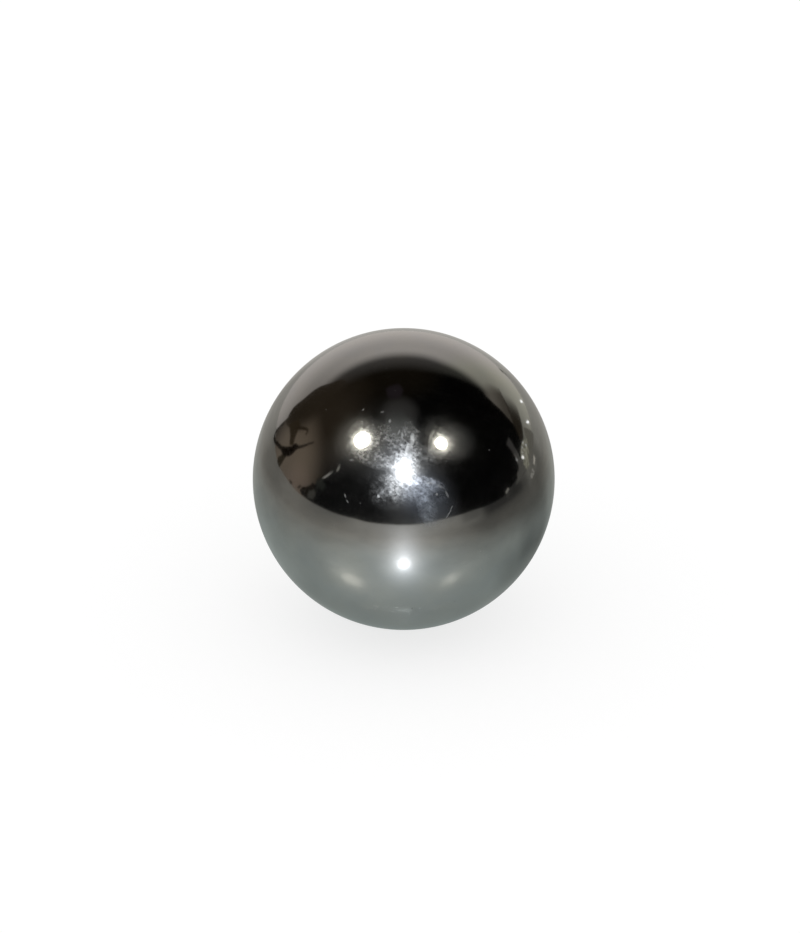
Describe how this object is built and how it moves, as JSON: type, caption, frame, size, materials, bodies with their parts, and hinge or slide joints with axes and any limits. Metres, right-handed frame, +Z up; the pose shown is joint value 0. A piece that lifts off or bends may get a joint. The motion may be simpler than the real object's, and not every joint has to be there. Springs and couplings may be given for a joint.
{
  "type": "steel ball",
  "caption": "Solid round steel ball, ground and polished to a mirror finish, as used in bearings and as a bench weight.",
  "frame": {"origin": "centre of the ball", "axes": "+Z up; the ball is the same along every axis"},
  "size_m": [0.0254, 0.0254, 0.0254],
  "materials": {
    "steel": "polished"
  },
  "bodies": {
    "root": {"ball": "steel"}
  },
  "joints": []
}
